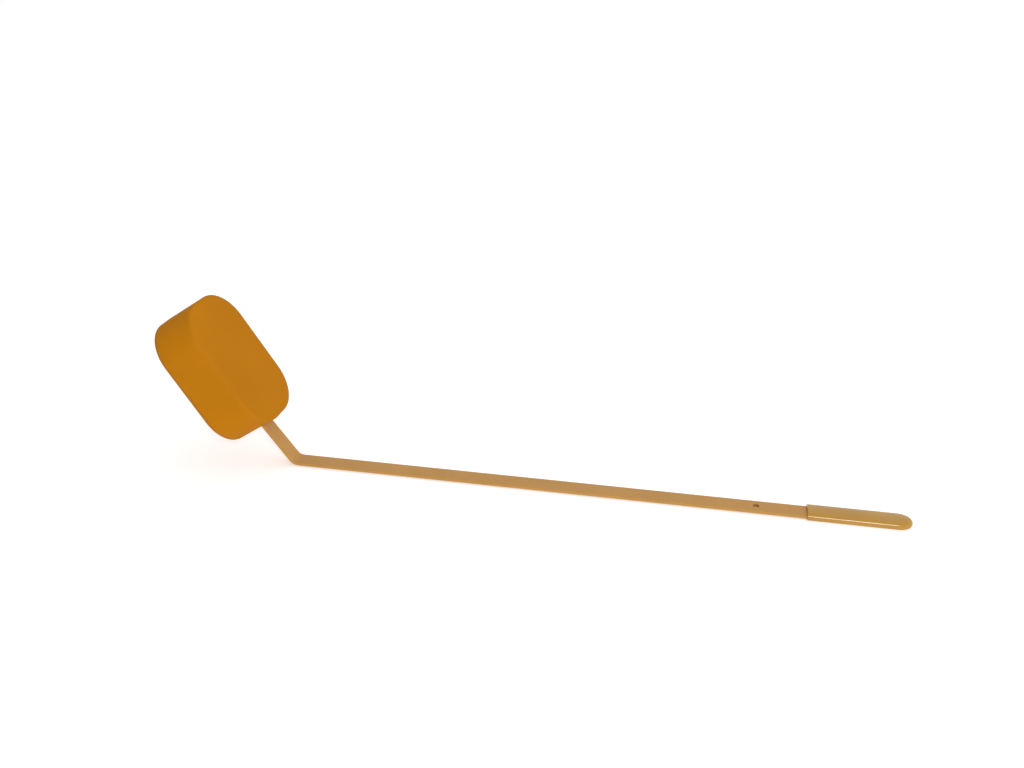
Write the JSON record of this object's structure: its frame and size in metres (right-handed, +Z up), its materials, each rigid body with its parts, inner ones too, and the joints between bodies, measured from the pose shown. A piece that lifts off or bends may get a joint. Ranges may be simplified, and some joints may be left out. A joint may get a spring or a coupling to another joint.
{
  "type": "microchip scanner",
  "caption": "Long-reach wand reader: a flat strip bent up to a thick rounded antenna head, with a slip-on grip, a spring button and a hinged battery door.",
  "frame": {"origin": "bottom centre of the bounding box, on the surface that the wand lies on", "axes": "+X along the shaft towards the grip's nose, +Y across the strip, +Z up; the head rises towards -X"},
  "size_m": [0.9684, 0.12, 0.2251],
  "materials": {
    "tan_coat": "satin",
    "tan_sleeve": "satin",
    "ochre_shell": "matte",
    "black_nylon": "matte",
    "button_grey": "satin",
    "black_rubber": "matte",
    "zinc_steel": "satin",
    "copper_wire": "satin",
    "lead_insulation": "satin",
    "ferrite": "matte",
    "board_green": "satin",
    "chip_black": "matte",
    "shield_tin": "satin",
    "capacitor_blue": "gloss",
    "socket_white": "matte",
    "clear_acrylic": "gloss",
    "led_amber": "gloss",
    "cell_wrap": "satin",
    "grey_foam": "matte"
  },
  "bodies": {
    "wand": {"bent_bar": "tan_coat", "grip_sleeve": "tan_sleeve", "head_shell": "ochre_shell", "scan_cover": "ochre_shell", "neck_block": "black_nylon", "coil_former": "black_nylon", "button_guide": "black_nylon", "tact_switch": "black_nylon", "cover_gasket": "black_rubber", "neck_seal": "black_rubber", "wiper_seal": "black_rubber", "cover_screws": "zinc_steel", "wing_screws": "zinc_steel", "tang_bolts": "zinc_steel", "tang_nuts": "zinc_steel", "board_screws": "zinc_steel", "battery_springs": "zinc_steel", "contact_plates": "zinc_steel", "hinge_pin": "zinc_steel", "antenna_coil": "copper_wire", "coil_leads": "lead_insulation", "battery_leads": "lead_insulation", "ferrite_plate": "ferrite", "reader_board": "board_green", "board_chips": "chip_black", "beeper": "chip_black", "board_inductor": "chip_black", "radio_can": "shield_tin", "board_capacitors": "capacitor_blue", "board_sockets": "socket_white", "light_pipe": "clear_acrylic", "status_led": "led_amber", "battery_cells": "cell_wrap"},
    "button": {"power_button": "button_grey", "switch_plunger": "button_grey"},
    "door": {"battery_door": "ochre_shell", "door_pad": "grey_foam"}
  },
  "joints": [
    {"name": "button_press", "type": "slide", "parent": "wand", "child": "button", "axis": [-0.5446, 0, 0.8387], "range_m": [0, 0.0012], "stiffness_N_per_m": 800, "springref_m": -0.0006},
    {"name": "battery_door_hinge", "type": "hinge", "parent": "wand", "child": "door", "pos_m": [-0.3967, 0, 0.06097], "axis": [0, -1, 0], "range_deg": [0, 95]}
  ]
}
